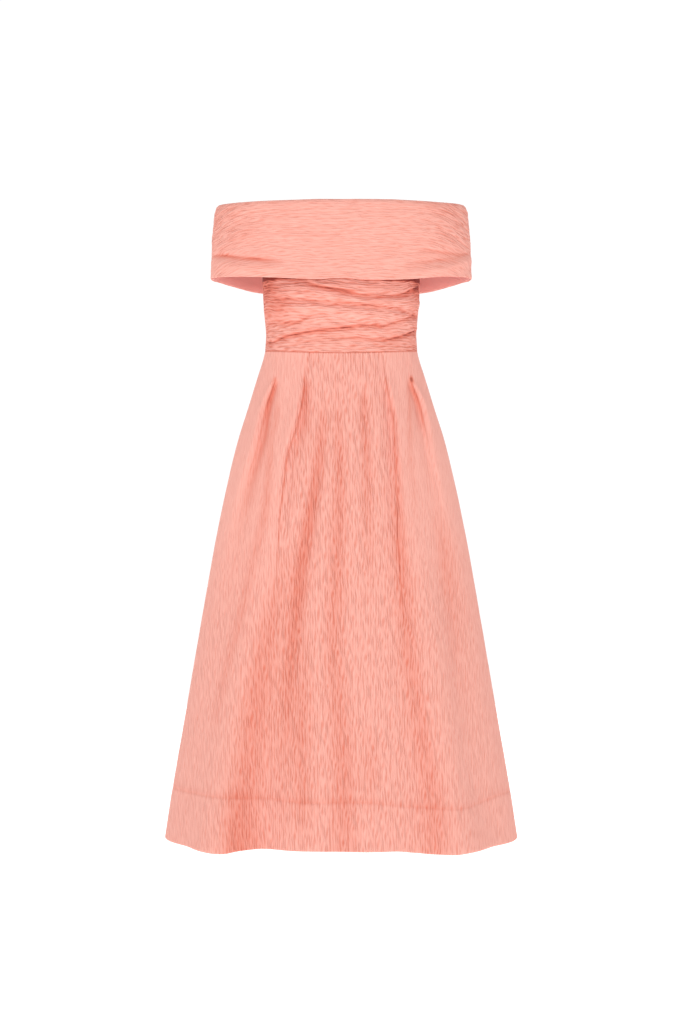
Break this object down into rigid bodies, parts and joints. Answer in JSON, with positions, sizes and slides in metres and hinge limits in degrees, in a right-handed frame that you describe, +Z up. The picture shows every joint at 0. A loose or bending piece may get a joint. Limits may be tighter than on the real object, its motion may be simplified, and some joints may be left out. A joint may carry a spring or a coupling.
{
  "type": "off-shoulder midi dress",
  "caption": "Off-shoulder midi dress in crinkled cloth: a deep folded band round shoulders and arms, draped fitted bodice and flared pleated skirt, hollow as worn.",
  "frame": {"origin": "centre of the waist seam, where the wearer's waist holds the dress", "axes": "+Z up, -Y towards the front of the dress, +X towards the wearer's left"},
  "size_m": [0.562, 0.398, 1.007],
  "materials": {
    "crinkled_cloth": "matt, crinkled, with a slight sheen",
    "smooth_lining": "smooth satin-like lining",
    "zip_tape": "woven tape with a nylon coil",
    "zip_metal": "enamelled to match the cloth"
  },
  "bodies": {
    "dress": {"skirt_front": "crinkled_cloth", "skirt_back_left": "crinkled_cloth", "skirt_back_right": "crinkled_cloth", "bodice_front": "crinkled_cloth", "bodice_back_left": "crinkled_cloth", "bodice_back_right": "crinkled_cloth", "band_front": "crinkled_cloth", "band_back_left": "crinkled_cloth", "band_back_right": "crinkled_cloth", "band_lining_front": "smooth_lining", "band_lining_back_left": "smooth_lining", "band_lining_back_right": "smooth_lining", "zip_tape": "zip_tape", "zip_slider": "zip_metal"},
    "zip_pull": {"zip_pull": "zip_metal"}
  },
  "joints": [
    {"name": "zip_pull_swing", "type": "hinge", "parent": "dress", "child": "zip_pull", "pos_m": [0, 0.12862, 0.2101], "axis": [1, 0, 0], "range_deg": [0, 150]}
  ]
}
